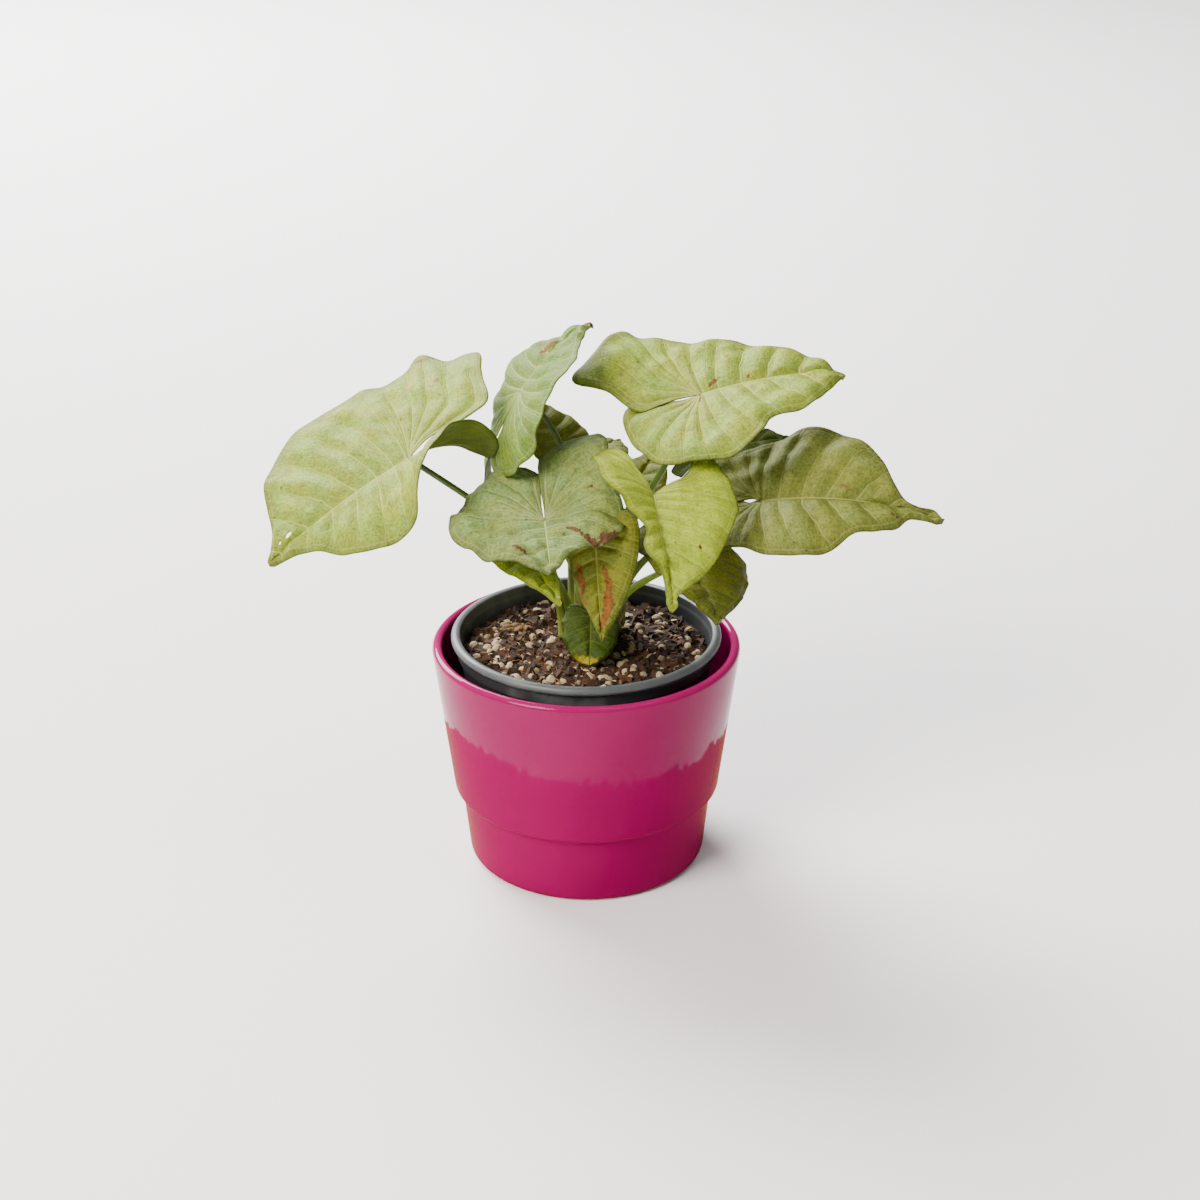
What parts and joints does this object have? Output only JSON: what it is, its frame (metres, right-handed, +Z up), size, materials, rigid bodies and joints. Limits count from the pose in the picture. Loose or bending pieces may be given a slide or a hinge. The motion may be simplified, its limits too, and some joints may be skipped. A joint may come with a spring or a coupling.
{
  "type": "potted arrowhead plant",
  "caption": "Arrowhead plant with pale arrow-shaped leaves on arching stalks, growing in a plastic nursery pot that stands inside a glazed cover pot.",
  "frame": {"origin": "centre of the cover pot's flat underside", "axes": "+Z up; the pictured front of the plant faces -Y; +X is to the right in the picture"},
  "size_m": [0.291, 0.153, 0.2387],
  "materials": {
    "magenta_glaze": "high gloss fired glaze",
    "grey_plastic": "moulded plastic, slightly worn",
    "growing_mix": "loose coir, bark and perlite",
    "crown": "rough woody plant base",
    "far_left_green": "satin leaf surface",
    "top_right_green": "satin leaf surface",
    "right_green": "satin leaf surface",
    "centre_green": "satin leaf surface",
    "front_right_green": "satin leaf surface",
    "upright_green": "satin leaf surface",
    "hanging_front_green": "satin leaf surface",
    "low_left_green": "satin leaf surface",
    "low_right_green": "satin leaf surface",
    "back_left_green": "satin leaf surface",
    "back_centre_green": "satin leaf surface",
    "back_mid_green": "satin leaf surface",
    "back_right_green": "satin leaf surface",
    "base_green": "satin leaf surface",
    "dead_green": "satin leaf surface",
    "far_left_stalk_green": "smooth green stem skin",
    "top_right_stalk_green": "smooth green stem skin",
    "right_stalk_green": "smooth green stem skin",
    "centre_stalk_green": "smooth green stem skin",
    "front_right_stalk_green": "smooth green stem skin",
    "upright_stalk_green": "smooth green stem skin",
    "hanging_front_stalk_green": "smooth green stem skin",
    "low_left_stalk_green": "smooth green stem skin",
    "low_right_stalk_green": "smooth green stem skin",
    "back_left_stalk_green": "smooth green stem skin",
    "back_centre_stalk_green": "smooth green stem skin",
    "back_mid_stalk_green": "smooth green stem skin",
    "back_right_stalk_green": "smooth green stem skin",
    "base_stalk_green": "smooth green stem skin",
    "centre_sheath": "dry papery sheath",
    "front_right_sheath": "dry papery sheath",
    "low_right_sheath": "dry papery sheath"
  },
  "bodies": {
    "root": {"cover_pot": "magenta_glaze", "nursery_pot": "grey_plastic", "soil": "growing_mix", "crown": "crown", "leaf_far_left": "far_left_green", "leaf_top_right": "top_right_green", "leaf_right": "right_green", "leaf_centre": "centre_green", "leaf_front_right": "front_right_green", "leaf_upright": "upright_green", "leaf_hanging_front": "hanging_front_green", "leaf_low_left": "low_left_green", "leaf_low_right": "low_right_green", "leaf_back_left": "back_left_green", "leaf_back_centre": "back_centre_green", "leaf_back_mid": "back_mid_green", "leaf_back_right": "back_right_green", "leaf_base": "base_green", "leaf_dead": "dead_green", "stalk_far_left": "far_left_stalk_green", "stalk_top_right": "top_right_stalk_green", "stalk_right": "right_stalk_green", "stalk_centre": "centre_stalk_green", "stalk_front_right": "front_right_stalk_green", "stalk_upright": "upright_stalk_green", "stalk_hanging_front": "hanging_front_stalk_green", "stalk_low_left": "low_left_stalk_green", "stalk_low_right": "low_right_stalk_green", "stalk_back_left": "back_left_stalk_green", "stalk_back_centre": "back_centre_stalk_green", "stalk_back_mid": "back_mid_stalk_green", "stalk_back_right": "back_right_stalk_green", "stalk_base": "base_stalk_green", "sheath_centre": "centre_sheath", "sheath_front_right": "front_right_sheath", "sheath_low_right": "low_right_sheath"}
  },
  "joints": []
}
